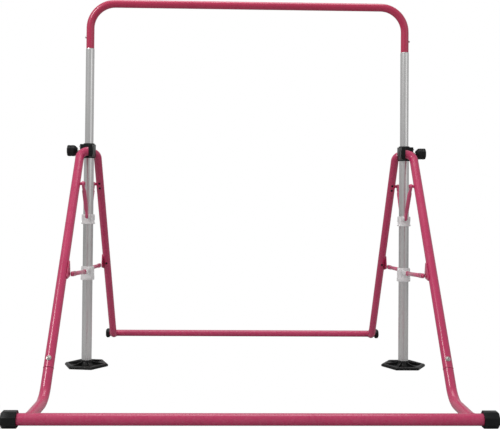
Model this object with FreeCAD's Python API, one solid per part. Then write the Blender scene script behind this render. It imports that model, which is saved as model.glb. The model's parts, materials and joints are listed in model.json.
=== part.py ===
import FreeCAD, Part
import math
import os

os.makedirs("parts", exist_ok=True)

V = FreeCAD.Vector

# Folding kip bar, millimetres. +X is the gymnast's right, +Y the rear, +Z up.
# The origin is on the floor, at the centre of the footprint.
# One side is drawn on the +X side and mirrored; "out" is measured outboard from the
# post's axis and "back" is measured rearwards from it.

# Driving dimensions: overall
total_height = 1300.0
post_spacing = 1126.0
pivot_height = 757.0
front_run = 180.0
rear_run = 45.0
front_leg_angle = 35.4
rear_leg_angle = 32.2
front_tube_overhang = 88.0
rear_tube_overhang = 9.0

# Driving dimensions: tubes
bar_diameter = 28.0
bar_wall = 1.5
bar_bend_radius = 88.0
bar_end_height = 1124.5
upper_diameter = 30.0
upper_wall = 1.2
upper_neck_length = 66.0
upper_taper = 3.0
upper_bottom_height = 560.0
tube_bush_height = 12.0
tube_bush_plug = 35.0
post_diameter = 35.0
post_wall = 2.0
front_leg_diameter = 30.0
rear_leg_diameter = 28.0
leg_wall = 1.5
front_tube_diameter = 32.0
rear_tube_diameter = 26.0
floor_tube_wall = 1.5

# Driving dimensions: legs
front_leg_out = 23.0
rear_leg_out = -23.0
pivot_back = 37.5
front_top_bend = 28.0
rear_top_bend = 24.0
stub_inset = 1.5
front_foot_bend = 84.0
rear_foot_bend = 45.0
front_joint_height = 102.0
foot_tube_overlap = 50.0
joint_bolt_from_end = 26.0

# Driving dimensions: head block
head_height = 46.0
head_below_pivot = 20.0
head_outboard = 29.0
head_inboard = 21.0
head_half_depth = 21.0
lug_thickness = 14.0
lug_reach = 19.5
lug_above_pivot = 24.0
head_round = 3.0
head_lid = 14.0

# Driving dimensions: lock knob
pin_above_pivot = 3.0
pin_radius = 4.0
pin_tip_gap = 0.4
bush_radius = 7.0
bush_stand_out = 7.0
bush_depth = 7.0
knob_radius = 21.0
knob_length = 35.0
knob_gap = 5.0
knob_sides = 8
knob_waist_radius = 12.0
knob_chamfer = 2.5
height_step = 50.0
height_holes = 7

# Driving dimensions: feet and caps
foot_plate_radius = 79.0
foot_plate_height = 10.0
foot_neck_height = 12.0
foot_spigot_length = 50.0
foot_turn_left = 52.0
foot_turn_right = 0.0
front_cap_flats = 44.0
front_cap_length = 42.0
rear_cap_flats = 36.0
rear_cap_length = 15.0
cap_end = 4.0
cap_chamfer = 3.5

# Driving dimensions: struts and collars
strut_height = 16.0
strut_width = 9.0
strut_round = 2.5
strut_diameter = 14.0
strut_bore = 11.0
strut_end_bore = 5.0
strut_flat = 17.0
strut_long_flat = 40.0
strut_neck = 14.0
neck_step = 0.3
plate_thickness = 3.2
plate_reach = 27.0
plate_half_base = 24.0
front_upper_pin = 140.0
collar_radius = 22.0
upper_collar_height = 34.0
upper_collar_above_pin = 6.0
lower_collar_height = 47.0
lower_collar_above_pin = 13.0
lower_pin_height = 338.0
lower_pin_back = 66.0
front_lower_pin = 475.0
rear_lower_pin = 490.17
collar_flange = 1.8
collar_flange_height = 5.0
lower_flange_height = 13.0
collar_lug_thickness = 4.0
collar_lug_radius = 8.0
rivet_radius = 3.0
rivet_head_radius = 5.5
rivet_head_height = 2.2

# Driving dimensions: small fasteners
bolt_radius = 3.0
bolt_head_radius = 5.5
bolt_head_height = 3.0
washer_radius = 7.5
washer_height = 1.2
screw_radius = 2.0
screw_head_radius = 4.2
screw_head_height = 2.0
screw_spacing = 20.0
button_radius = 4.0
button_stand_out = 4.5
button_above_joint = 40.0
button_flange = 1.6
button_dome = 5.4

# Named clearances
running = 0.08
slip = 0.05
side_gap = 0.3
open_gap = 0.4

# Derived places
half_spacing = post_spacing / 2
front_tube_length = post_spacing + 2 * front_tube_overhang
rear_tube_length = post_spacing + 2 * rear_tube_overhang
front_cap_half = front_cap_flats / 2
rear_cap_half = rear_cap_flats / 2
front_angle = math.radians(front_leg_angle)
rear_angle = math.radians(rear_leg_angle)
front_drop = pivot_height - front_cap_half
rear_drop = pivot_height - rear_cap_half
front_leg_length = (pivot_height - front_joint_height) / math.cos(front_angle)
front_reach = pivot_back + front_drop * math.tan(front_angle) + front_run
rear_reach = pivot_back + rear_drop * math.tan(rear_angle) + rear_run
post_back = (front_reach + front_cap_half - rear_reach - rear_cap_half) / 2
bar_radius = bar_diameter / 2
bar_height = total_height - bar_radius
upper_radius = upper_diameter / 2
post_radius = post_diameter / 2
post_bore = post_radius - post_wall
post_bottom = foot_plate_height + foot_neck_height
front_leg_radius = front_leg_diameter / 2
rear_leg_radius = rear_leg_diameter / 2
head_bottom = pivot_height - head_below_pivot
head_top = head_bottom + head_height
post_top = head_top - head_lid
pin_height = pivot_height + pin_above_pivot

# Struts lie just inside their leg: in front they are inboard of it, behind outboard.
beside_leg = plate_thickness + strut_diameter / 2
front_strut_out = front_leg_out - front_leg_radius - beside_leg
rear_strut_out = rear_leg_out + rear_leg_radius + beside_leg

# The upper struts are as long as their pin's distance from the head's pivot, so the
# collar between them stays level and centred at every angle of the legs.
upper_drop = 2 * front_upper_pin * math.cos(front_angle)
upper_pin_height = pivot_height - upper_drop
rear_upper_pin = upper_drop / 2 / math.cos(rear_angle)


def at(out, back, height):
    """Point on the +X side, from the post's axis on the floor."""
    return V(half_spacing + out, post_back + back, height)


def leg_point(front, along, off, out):
    """Point on or beside a leg: along it from its pivot, and off it towards the post."""
    angle = front_angle if front else rear_angle
    side = -1 if front else 1
    back = side * (pivot_back + along * math.sin(angle) - off * math.cos(angle))
    height = pivot_height - along * math.cos(angle) - off * math.sin(angle)
    return at(out, back, height)


def mirrored(shape):
    """The same piece on the other side."""
    return shape.mirror(V(0, 0, 0), V(1, 0, 0))


def save(name, *shapes):
    """Writes one node; several solids make a group."""
    shape = shapes[0] if len(shapes) == 1 else Part.makeCompound(list(shapes))
    shape.exportStep("parts/" + name + ".step")


def save_pair(name, shape):
    """Writes the right-hand piece and its mirror image."""
    save(name + "_right", shape)
    save(name + "_left", mirrored(shape))


def rod(start, end, radius):
    """Solid cylinder from one point to another."""
    span = end - start
    return Part.makeCylinder(radius, span.Length, start, span)


def pipe(start, end, radius, wall):
    """Straight tube."""
    return rod(start, end, radius).cut(rod(start, end, radius - wall))


def path(corners, bends):
    """Wire of straight runs joined by tangent arcs, one bend radius per inner corner."""
    edges = []
    last = corners[0]
    for index, bend in enumerate(bends):
        corner = corners[index + 1]
        before = (corners[index] - corner).normalize()
        after = (corners[index + 2] - corner).normalize()
        half = before.getAngle(after) / 2
        middle = (before + after).normalize()
        centre = corner + middle * (bend / math.sin(half))
        first = corner + before * (bend / math.tan(half))
        final = corner + after * (bend / math.tan(half))
        edges.append(Part.LineSegment(last, first).toShape())
        edges.append(Part.Arc(first, centre - middle * bend, final).toShape())
        last = final
    edges.append(Part.LineSegment(last, corners[-1]).toShape())
    return Part.Wire(edges)


def swept(corners, bends, radius):
    """Solid round bar along a bent path."""
    ring = Part.Wire(Part.makeCircle(radius, corners[0], corners[1] - corners[0]))
    return path(corners, bends).makePipeShell([ring], True, False)


def bent_pipe(corners, bends, radius, wall):
    """Tube along a bent path."""
    return swept(corners, bends, radius).cut(swept(corners, bends, radius - wall))


def cross_bar(out_from, out_to, back, height, radius):
    """Cylinder along X beside the +X post."""
    return rod(at(out_from, back, height), at(out_to, back, height), radius)


def block(out_from, out_to, back_from, back_to, low, high):
    """Box beside the +X post."""
    return Part.makeBox(out_to - out_from, back_to - back_from, high - low,
                        at(out_from, back_from, low))


def stadium(first, last, radius, out_from, out_to):
    """Plate in the YZ plane with round ends about two points, from out_from to out_to."""
    start = V(half_spacing + out_from, first.y, first.z)
    end = V(half_spacing + out_from, last.y, last.z)
    across = V(1, 0, 0).cross(end - start).normalize() * radius
    corners = [start + across, end + across, end - across, start - across]
    face = Part.Face(Part.makePolygon(corners + corners[:1]))
    thick = V(out_to - out_from, 0, 0)
    plate = face.extrude(thick)
    for point in (start, end):
        plate = plate.fuse(rod(point, point + thick, radius))
    return plate.removeSplitter()


def post():
    """Lower upright with the lock pin's hole through its outboard wall."""
    tube = pipe(at(0, 0, post_bottom), at(0, 0, post_top), post_radius, post_wall)
    return tube.cut(cross_bar(0, post_radius * 2, 0, pin_height, pin_radius + slip))


def leg_hole(front, out_from, out_to):
    """Bore that a leg's bent end turns in."""
    radius = (front_leg_radius if front else rear_leg_radius) + running
    back = -pivot_back if front else pivot_back
    return cross_bar(out_from, out_to, back, pivot_height, radius)


def head():
    """Moulded block on the post's top, with a lug for each leg."""
    body = block(-head_inboard, head_outboard, -head_half_depth, head_half_depth,
                 head_bottom, head_top)
    lug_back = pivot_back + lug_reach
    lug_top = pivot_height + lug_above_pivot
    front_lug = block(-head_inboard, lug_thickness - head_inboard, -lug_back, 0,
                      head_bottom, lug_top)
    rear_lug = block(head_inboard - lug_thickness, head_inboard, 0, lug_back,
                     head_bottom, lug_top)
    body = body.fuse([front_lug, rear_lug]).removeSplitter()
    upright = [edge for edge in body.Edges
               if abs(edge.tangentAt(edge.FirstParameter).z) > 0.99]
    outer = [edge for edge in upright if convex(body, edge)]
    body = body.makeFillet(head_round, outer)
    body = body.cut(rod(at(0, 0, head_bottom), at(0, 0, post_top), post_radius + slip))
    body = body.cut(rod(at(0, 0, post_top), at(0, 0, head_top), upper_radius + running))
    body = body.cut(leg_hole(True, -head_inboard, head_outboard * 2))
    body = body.cut(leg_hole(False, -head_inboard * 2, head_inboard))
    bush_start = head_outboard - bush_depth
    body = body.cut(cross_bar(0, bush_start, 0, pin_height, pin_radius + slip))
    return body.cut(cross_bar(bush_start, head_outboard, 0, pin_height, bush_radius + slip))


def convex(shape, edge):
    """True where an edge is an outside corner."""
    middle = edge.valueAt((edge.FirstParameter + edge.LastParameter) / 2)
    probe = Part.makeSphere(1.0, middle)
    return probe.common(shape).Volume < probe.Volume / 2


def lock_bush():
    """Metal sleeve that guides the lock pin."""
    start = head_outboard - bush_depth
    end = head_outboard + bush_stand_out
    sleeve = cross_bar(start, end, 0, pin_height, bush_radius)
    return sleeve.cut(cross_bar(start, end, 0, pin_height, pin_radius + running))


def knob_start():
    """Inner face of the lock knob, outboard of the post's axis."""
    return head_outboard + bush_stand_out + knob_gap


def lock_pin():
    """Plunger from just clear of the upper tube into the knob."""
    end = knob_start() + knob_length / 2
    return cross_bar(upper_radius + pin_tip_gap, end, 0, pin_height, pin_radius)


def lock_knob():
    """Eight-sided grip, tapered towards the head."""
    start = knob_start()
    waist = start + knob_length / 4
    end = start + knob_length
    cone = Part.makeCone(knob_waist_radius, knob_radius, waist - start,
                         at(start, 0, pin_height), V(1, 0, 0))
    corners = []
    for index in range(knob_sides + 1):
        turn = 2 * math.pi * (index + 0.5) / knob_sides
        back = knob_radius * math.cos(turn)
        corners.append(at(waist, back, pin_height + knob_radius * math.sin(turn)))
    barrel = Part.Face(Part.makePolygon(corners)).extrude(V(end - waist, 0, 0))
    rim = [edge for edge in barrel.Edges if edge.BoundBox.XMin > half_spacing + end - 0.01]
    barrel = barrel.makeChamfer(knob_chamfer, rim)
    around = cross_bar(start, waist, 0, pin_height, knob_radius * math.cos(math.pi / knob_sides))
    grip = barrel.fuse(cone.common(around)).removeSplitter()
    return grip.cut(cross_bar(start, start + knob_length / 2, 0, pin_height,
                              pin_radius + slip))


def foot(sign, turn):
    """Six-sided foot plate with a neck, and a spigot that turns inside the post."""
    centre = V(sign * half_spacing, post_back, 0)
    corners = []
    for index in range(7):
        angle = math.radians(60 * index + turn)
        corners.append(centre + V(math.cos(angle), math.sin(angle), 0) * foot_plate_radius)
    plate = Part.Face(Part.makePolygon(corners)).extrude(V(0, 0, foot_plate_height))
    top = [edge for edge in plate.Edges if edge.BoundBox.ZMin > foot_plate_height / 2]
    plate = plate.makeChamfer(foot_plate_height / 5, top)
    neck = rod(centre, centre + V(0, 0, post_bottom - side_gap), post_radius)
    spigot = rod(centre, centre + V(0, 0, post_bottom + foot_spigot_length),
                 post_bore - running)
    return plate.fuse([neck, spigot]).removeSplitter()


def u_bar():
    """Top bar with both ends bent down."""
    corners = [V(-half_spacing, post_back, bar_end_height),
               V(-half_spacing, post_back, bar_height),
               V(half_spacing, post_back, bar_height),
               V(half_spacing, post_back, bar_end_height)]
    tube = bent_pipe(corners, [bar_bend_radius] * 2, bar_radius, bar_wall)
    height = bar_end_height + button_above_joint
    hole = cross_bar(0, bar_diameter, 0, height, button_radius + slip)
    return tube.cut([hole, mirrored(hole)])


def upper_tube():
    """Inner upright: a necked end inside the top bar and a row of height holes."""
    neck = bar_radius - bar_wall - slip
    shoulder = bar_end_height - slip
    body = rod(at(0, 0, upper_bottom_height), at(0, 0, shoulder - upper_taper), upper_radius)
    cone = Part.makeCone(upper_radius, bar_radius, upper_taper,
                         at(0, 0, shoulder - upper_taper))
    tip = rod(at(0, 0, shoulder), at(0, 0, shoulder + upper_neck_length), neck)
    tube = body.fuse([cone, tip])
    bore = rod(at(0, 0, upper_bottom_height), at(0, 0, shoulder - 2 * upper_taper),
               upper_radius - upper_wall)
    tube = tube.cut(bore)
    tube = tube.cut(rod(at(0, 0, upper_bottom_height), at(0, 0, shoulder + upper_neck_length),
                        neck - upper_wall))
    for index in range(height_holes):
        height = pin_height + index * height_step
        tube = tube.cut(cross_bar(0, upper_diameter, 0, height, pin_radius + slip))
    button = bar_end_height + button_above_joint
    return tube.cut(cross_bar(0, bar_diameter, 0, button, button_radius + slip))


def tube_bush():
    """Plastic plug in the upper tube's lower end, which slides in the post."""
    foot_end = at(0, 0, upper_bottom_height - tube_bush_height)
    rim = rod(foot_end, at(0, 0, upper_bottom_height), post_bore - running)
    plug = rod(foot_end, at(0, 0, upper_bottom_height + tube_bush_plug),
               upper_radius - upper_wall - slip)
    return rim.fuse(plug).removeSplitter()


def snap_button():
    """Spring button that holds the top bar on the upper tube."""
    height = bar_end_height + button_above_joint
    inner = bar_radius - bar_wall - upper_wall - 2 * button_flange
    flange = cross_bar(inner, inner + button_flange, 0, height, button_radius + button_flange)
    shank = cross_bar(inner, bar_radius + button_stand_out / 2, 0, height, button_radius)
    centre = bar_radius + button_stand_out - button_dome
    ball = Part.makeSphere(button_dome, at(centre, 0, height))
    column = cross_bar(inner, bar_radius + button_stand_out, 0, height, button_radius)
    return shank.fuse([flange, ball.common(column)]).removeSplitter()


def leg_corners(front):
    """Corner points of a leg's centre line, from its bent top end downwards."""
    out = front_leg_out if front else rear_leg_out
    pivot = leg_point(front, 0, 0, out)
    side = -1 if front else 1
    stub = at(side * (head_inboard - stub_inset), pivot.y - post_back, pivot_height)
    return stub, pivot


def front_leg():
    """Front leg: bent inboard at the top, open at the lower end for the foot tube."""
    stub, pivot = leg_corners(True)
    end = leg_point(True, front_leg_length, 0, front_leg_out)
    tube = bent_pipe([stub, pivot, end], [front_top_bend], front_leg_radius, leg_wall)
    return tube.cut(joint_bolt_hole())


def joint_bolt_line():
    """Outer end and direction of the bolt through the front leg's lower joint."""
    along = front_leg_length - joint_bolt_from_end
    surface = leg_point(True, along, -front_leg_radius, front_leg_out)
    inward = (leg_point(True, along, 0, front_leg_out) - surface).normalize()
    return surface, inward


def joint_bolt_hole():
    """Clearance hole for the joint bolt through the leg's front wall."""
    surface, inward = joint_bolt_line()
    return rod(surface - inward, surface + inward * front_leg_radius, bolt_radius + slip)


def joint_bolt():
    """Round-headed bolt and washer on the front of the joint."""
    surface, inward = joint_bolt_line()
    base = surface - inward * side_gap
    washer = rod(base, base - inward * washer_height, washer_radius)
    shank = rod(base, surface + inward * (2 * leg_wall + bolt_radius), bolt_radius)
    ball_radius = (bolt_head_radius ** 2 + bolt_head_height ** 2) / 2 / bolt_head_height
    seat = base - inward * washer_height
    ball = Part.makeSphere(ball_radius, seat + inward * (ball_radius - bolt_head_height))
    dome = ball.common(rod(seat, seat - inward * bolt_head_radius, bolt_head_radius))
    return washer.fuse([shank, dome]).removeSplitter()


def front_foot_tube():
    """Lower end of the front leg: plugs into it, then bends forward to the floor tube."""
    start = leg_point(True, front_leg_length + side_gap, 0, front_leg_out)
    corner = leg_point(True, front_drop / math.cos(front_angle), 0, front_leg_out)
    end = at(front_leg_out, -front_reach, front_cap_half)
    tube = swept([start, corner, end], [front_foot_bend], front_leg_radius)
    spigot_top = leg_point(True, front_leg_length - foot_tube_overlap, 0, front_leg_out)
    tube = tube.fuse(rod(spigot_top, start, front_leg_radius - leg_wall - slip))
    inner = front_leg_radius - 2 * leg_wall
    tube = tube.cut(swept([spigot_top, corner, end], [front_foot_bend], inner))
    return tube.cut([floor_tube_core(True), joint_bolt_hole()])


def floor_tube_core(front):
    """Solid of a floor tube's outer size, for coping what joins it."""
    back = -front_reach if front else rear_reach
    height = front_cap_half if front else rear_cap_half
    radius = (front_tube_diameter if front else rear_tube_diameter) / 2
    half = (front_tube_length if front else rear_tube_length) / 2
    start = V(-half, post_back + back, height)
    return rod(start, start + V(2 * half, 0, 0), radius)


def floor_tube(front):
    """Cross tube on the floor."""
    outer = floor_tube_core(front)
    box = outer.BoundBox
    middle = (box.YMin + box.YMax) / 2
    height = (box.ZMin + box.ZMax) / 2
    radius = (front_tube_diameter if front else rear_tube_diameter) / 2 - floor_tube_wall
    return outer.cut(rod(V(box.XMin, middle, height), V(box.XMax, middle, height), radius))


def end_cap(front):
    """Eight-sided push-on cap that keeps the floor tube off the floor."""
    flats = front_cap_flats if front else rear_cap_flats
    length = front_cap_length if front else rear_cap_length
    bore = (front_tube_diameter if front else rear_tube_diameter) / 2 + slip
    end = (front_tube_length if front else rear_tube_length) / 2 + cap_end
    back = -front_reach if front else rear_reach
    centre = V(end - length, post_back + back, flats / 2)
    corner = flats / 2 / math.cos(math.pi / 8)
    points = []
    for index in range(9):
        angle = math.pi / 8 + index * math.pi / 4
        points.append(centre + V(0, math.cos(angle), math.sin(angle)) * corner)
    cap = Part.Face(Part.makePolygon(points)).extrude(V(length, 0, 0))
    rim = [edge for edge in cap.Edges if edge.BoundBox.XMin > end - 0.01]
    cap = cap.makeChamfer(cap_chamfer, rim)
    return cap.cut(rod(centre, centre + V(length - cap_end + slip, 0, 0), bore))


def rear_leg():
    """Rear leg: bent outboard at the top and rearwards to the floor tube at the foot."""
    stub, pivot = leg_corners(False)
    corner = leg_point(False, rear_drop / math.cos(rear_angle), 0, rear_leg_out)
    end = at(rear_leg_out, rear_reach, rear_cap_half)
    bends = [rear_top_bend, rear_foot_bend]
    tube = bent_pipe([stub, pivot, corner, end], bends, rear_leg_radius, leg_wall)
    holes = [bracket_screw_line(along, slip) for along in bracket_screw_places()]
    return tube.cut([floor_tube_core(False)] + holes)


def strut(first, last, out, leg_flat):
    """Round tube strut with both ends pressed flat for a pin.

    leg_flat is how far the flat reaches from the pin at the leg's end.
    """
    low = out - strut_width / 2
    high = out + strut_width / 2
    along = (last - first).normalize()
    start = first + along * strut_flat
    end = last - along * leg_flat
    body = flat_end(first, start, low, high).fuse(flat_end(last, end, low, high))
    body = body.fuse(rod(start + along * strut_neck, end - along * strut_neck,
                         strut_diameter / 2))
    body = body.fuse([neck(start, along), neck(end, along * -1)]).removeSplitter()
    body = body.cut(rod(first, last, strut_end_bore / 2))
    body = body.cut(rod(start + along * strut_neck, end - along * strut_neck,
                        strut_bore / 2))
    for point in (first, last):
        hole_start = V(half_spacing + low, point.y, point.z)
        body = body.cut(rod(hole_start, hole_start + V(strut_width, 0, 0),
                            rivet_radius + running))
    return body


def flat_end(pin, inner, low, high):
    """Flat end of a strut, round about its pin, with its long edges rounded."""
    plate = stadium(pin, inner, strut_height / 2, low, high)
    rims = [edge for edge in plate.Edges if edge.BoundBox.XLength < 0.01]
    plate = plate.makeFillet(strut_round, rims)
    away = (inner - pin).normalize() * strut_height
    half = Part.makeBox(2 * strut_height, 2 * strut_height, strut_height,
                        V(-strut_height, -strut_height, 0))
    half.Placement = FreeCAD.Placement(inner, FreeCAD.Rotation(V(0, 0, 1), away))
    return plate.cut(half)


def neck(start, along):
    """Smooth change from a strut's flat end to its round middle."""
    oval = Part.Ellipse(V(0, 0, 0), strut_height / 2 - neck_step,
                        strut_width / 2 - neck_step).toShape()
    oval.Placement = FreeCAD.Placement(start, FreeCAD.Rotation(V(1, 0, 0).cross(along),
                                                               V(1, 0, 0), along, "ZXY"))
    ring = Part.Circle(V(0, 0, 0), V(0, 0, 1), strut_diameter / 2 - neck_step).toShape()
    ring.Placement = FreeCAD.Placement(start + along * strut_neck, oval.Placement.Rotation)
    return Part.makeLoft([Part.Wire(oval), Part.Wire(ring)], True)


def upper_strut(front):
    """Strut from the upper collar to a leg."""
    along = front_upper_pin if front else rear_upper_pin
    out = front_strut_out if front else rear_strut_out
    side = -1 if front else 1
    top = leg_point(front, along, 0, out)
    bottom = at(out, side * pivot_back, upper_pin_height)
    return strut(bottom, top, out, strut_flat)


def lower_leg_pin(front):
    """Centre of the lower strut's pin beside a leg."""
    along = front_lower_pin if front else rear_lower_pin
    out = front_strut_out if front else rear_strut_out
    return leg_point(front, along, plate_reach, out)


def lower_collar_pin(front):
    """Centre of the lower strut's pin on the lower collar."""
    out = front_strut_out if front else rear_strut_out
    side = -1 if front else 1
    return at(out, side * lower_pin_back, lower_pin_height)


def lower_strut(front):
    """Strut from the lower collar to a leg."""
    out = front_strut_out if front else rear_strut_out
    return strut(lower_collar_pin(front), lower_leg_pin(front), out, strut_long_flat)


def leg_side(front):
    """Where a leg's plate lies: its near face to the strut, and its far face."""
    if front:
        near = front_strut_out + strut_diameter / 2 + open_gap
        return near, near + plate_thickness
    near = rear_strut_out - strut_diameter / 2 - open_gap
    return near, near - plate_thickness


def leg_core(front):
    """Straight solid of a leg's outer size, for fitting what is welded to it."""
    out = front_leg_out if front else rear_leg_out
    radius = front_leg_radius if front else rear_leg_radius
    return rod(leg_point(front, 0, 0, out), leg_point(front, front_leg_length, 0, out), radius)


def upper_stud(front):
    """Stud on the leg's side that the upper strut turns on, with its head."""
    far = leg_side(front)[1]
    along = front_upper_pin if front else rear_upper_pin
    out = front_strut_out if front else rear_strut_out
    centre = leg_point(front, along, 0, 0)
    back = centre.y - post_back
    step = -1 if front else 1
    seat = out - step * (strut_width / 2 + open_gap)
    boss = cross_bar(*sorted((seat, far - step)), back, centre.z, rivet_head_radius)
    end = out + step * (strut_width / 2 + side_gap)
    shank = cross_bar(*sorted((seat, end)), back, centre.z, rivet_radius)
    top = end + step * rivet_head_height
    cap = cross_bar(*sorted((end, top)), back, centre.z, rivet_head_radius)
    return boss.cut(leg_core(front)).fuse([shank, cap]).removeSplitter()


def lower_plate(front):
    """Gusset plate welded to the leg, with a rivet head where the strut meets it."""
    near, far = leg_side(front)
    side = 1 if front else -1
    pin = lower_leg_pin(front)
    along = front_lower_pin if front else rear_lower_pin
    low, high = sorted((near, far))
    arms = []
    for offset in (-plate_half_base, plate_half_base):
        base = leg_point(front, along + offset, 0, low)
        arms.append(stadium(pin, base, collar_lug_radius, low, high))
    base_start = leg_point(front, along - plate_half_base, 0, low)
    base_end = leg_point(front, along + plate_half_base, 0, low)
    arms.append(stadium(base_start, base_end, collar_lug_radius, low, high))
    web = Part.Face(Part.makePolygon([V(half_spacing + low, pin.y, pin.z), base_start,
                                      base_end, V(half_spacing + low, pin.y, pin.z)]))
    plate = web.extrude(V(plate_thickness, 0, 0)).fuse(arms)
    back = pin.y - post_back
    outer = far + side * rivet_head_height
    dome = cross_bar(*sorted((far, outer)), back, pin.z, rivet_head_radius)
    return plate.fuse(dome).removeSplitter().cut(leg_core(front))


def collar_lug(front, pin_back, height, reach_from):
    """Lug on a collar, on the strut's far side from the leg."""
    side = -1 if front else 1
    out = front_strut_out if front else rear_strut_out
    near = out + side * (strut_width / 2 + open_gap)
    far = near + side * collar_lug_thickness
    low, high = sorted((near, far))
    tip = at(low, side * pin_back, height)
    root = at(low, side * reach_from, height)
    return stadium(tip, root, collar_lug_radius, low, high)


def collar(pin_back, height, above, tall, flange_height):
    """Nylon sleeve on the post with a flange at its foot and a lug for each strut."""
    bottom = height + above - tall
    sleeve = rod(at(0, 0, bottom), at(0, 0, bottom + tall), collar_radius)
    rim = [edge for edge in sleeve.Edges if edge.BoundBox.ZMin > bottom + tall - 0.01]
    sleeve = sleeve.makeChamfer(collar_flange / 2, rim)
    flange = rod(at(0, 0, bottom), at(0, 0, bottom + flange_height),
                 collar_radius + collar_flange)
    lugs = [collar_lug(front, pin_back, height, post_radius) for front in (True, False)]
    body = sleeve.fuse([flange] + lugs).removeSplitter()
    return body.cut(rod(at(0, 0, bottom - tall), at(0, 0, bottom + 2 * tall),
                        post_radius + running))


def collar_pin(front, pin_back, height):
    """Pin through a collar's lug and the strut beside it."""
    side = -1 if front else 1
    out = front_strut_out if front else rear_strut_out
    near = out + side * (strut_width / 2 + open_gap)
    end = out - side * (strut_width / 2 + side_gap)
    top = end - side * rivet_head_height
    back = side * pin_back
    shank = cross_bar(*sorted((near, end)), back, height, rivet_radius)
    cap = cross_bar(*sorted((end, top)), back, height, rivet_head_radius)
    return shank.fuse(cap).removeSplitter()


def strut_rivet(front, centre, head_side):
    """Rivet held in a strut's end, flush on the side that faces the open pivot."""
    out = front_strut_out if front else rear_strut_out
    back = centre.y - post_back
    face = out + head_side * strut_width / 2
    far = out - head_side * strut_width / 2
    shank = cross_bar(*sorted((far, face)), back, centre.z, rivet_radius)
    top = face + head_side * rivet_head_height
    cap = cross_bar(*sorted((face, top)), back, centre.z, rivet_head_radius)
    return shank.fuse(cap).removeSplitter()


def lug_rivet(pin_back, height):
    """Rivet head on the rear lug of the upper collar, at its open pivot."""
    near = rear_strut_out + strut_width / 2 + open_gap
    end = near + collar_lug_thickness + rivet_head_height
    return cross_bar(near + collar_lug_thickness, end, pin_back, height, rivet_head_radius)


def bracket_screw_places():
    """Distances of the bracket screws down the rear leg."""
    return (rear_upper_pin - screw_spacing / 2, rear_upper_pin + screw_spacing / 2,
            rear_lower_pin)


def bracket_screw_line(along, gap):
    """Shank of a screw in the side of the rear leg that faces the post."""
    surface = leg_point(False, along, rear_leg_radius + gap, rear_leg_out)
    root = leg_point(False, along, rear_leg_radius - 2 * leg_wall, rear_leg_out)
    return rod(root, surface, screw_radius + gap)


def bracket_screw(along):
    """Pan-head screw on the side of the rear leg that faces the post."""
    seat = leg_point(False, along, rear_leg_radius, rear_leg_out)
    top = leg_point(False, along, rear_leg_radius + screw_head_height, rear_leg_out)
    head_top = rod(seat, top, screw_head_radius)
    return bracket_screw_line(along, 0).fuse(head_top).removeSplitter()


def pair(shape):
    """A piece and its mirror image, as a list of solids."""
    return [shape, mirrored(shape)]


def save_stand():
    """The two uprights, their heads and the parts that slide or turn in them."""
    save_pair("post", post())
    save_pair("head_block", head())
    save_pair("lock_bush", lock_bush())
    save_pair("lock_pin", lock_pin())
    save_pair("lock_knob", lock_knob())
    save("foot_plate_right", foot(1, foot_turn_right))
    save("foot_plate_left", foot(-1, foot_turn_left))


def save_bar():
    """The top bar and the tubes it slides up and down on."""
    save("u_bar", u_bar())
    save_pair("upper_tube", upper_tube())
    save_pair("tube_bush", tube_bush())
    save_pair("snap_button", snap_button())


def save_front_frame():
    """The front legs, their floor tube and all that is fixed to them."""
    save_pair("front_leg", front_leg())
    save_pair("front_foot_tube", front_foot_tube())
    save("front_floor_tube", floor_tube(True))
    save_pair("front_cap", end_cap(True))
    save_pair("front_leg_plate", lower_plate(True))
    save("front_leg_studs", *pair(upper_stud(True)))
    save("joint_bolts", *pair(joint_bolt()))


def save_rear_frame():
    """The rear legs, their floor tube and all that is fixed to them."""
    save_pair("rear_leg", rear_leg())
    save("rear_floor_tube", floor_tube(False))
    save_pair("rear_cap", end_cap(False))
    save_pair("rear_leg_plate", lower_plate(False))
    save("rear_leg_studs", *pair(upper_stud(False)))
    screws = []
    for along in bracket_screw_places():
        screws += pair(bracket_screw(along))
    save("bracket_screws", *screws)


def save_linkage():
    """The struts and the collars that keep both frames in step."""
    for front, name in ((True, "front"), (False, "rear")):
        side = 1 if front else -1
        save_pair(name + "_upper_strut", upper_strut(front))
        save_pair(name + "_lower_strut", lower_strut(front))
        rivet = strut_rivet(front, lower_leg_pin(front), -side)
        save(name + "_lower_rivets", *pair(rivet))
    foot_of_strut = at(0, pivot_back, upper_pin_height)
    save("rear_upper_rivets", *pair(strut_rivet(False, foot_of_strut, -1)))
    save_pair("upper_collar", collar(pivot_back, upper_pin_height, upper_collar_above_pin,
                                     upper_collar_height, collar_flange_height))
    save("upper_collar_pins", *pair(collar_pin(True, pivot_back, upper_pin_height)),
         *pair(lug_rivet(pivot_back, upper_pin_height)))
    save_pair("lower_collar", collar(lower_pin_back, lower_pin_height,
                                     lower_collar_above_pin, lower_collar_height,
                                     lower_flange_height))
    save("lower_collar_pins", *pair(collar_pin(True, lower_pin_back, lower_pin_height)),
         *pair(collar_pin(False, lower_pin_back, lower_pin_height)))


save_stand()
save_bar()
save_front_frame()
save_rear_frame()
save_linkage()
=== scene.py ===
"""Looks of a folding kip bar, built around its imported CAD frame. Metres, +Z up, rear is +Y."""

import json
import logging
import math
from dataclasses import dataclass, field
from enum import Enum
from typing import Callable, Sequence

import bmesh
import bpy
from mathutils import Matrix, Vector

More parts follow.
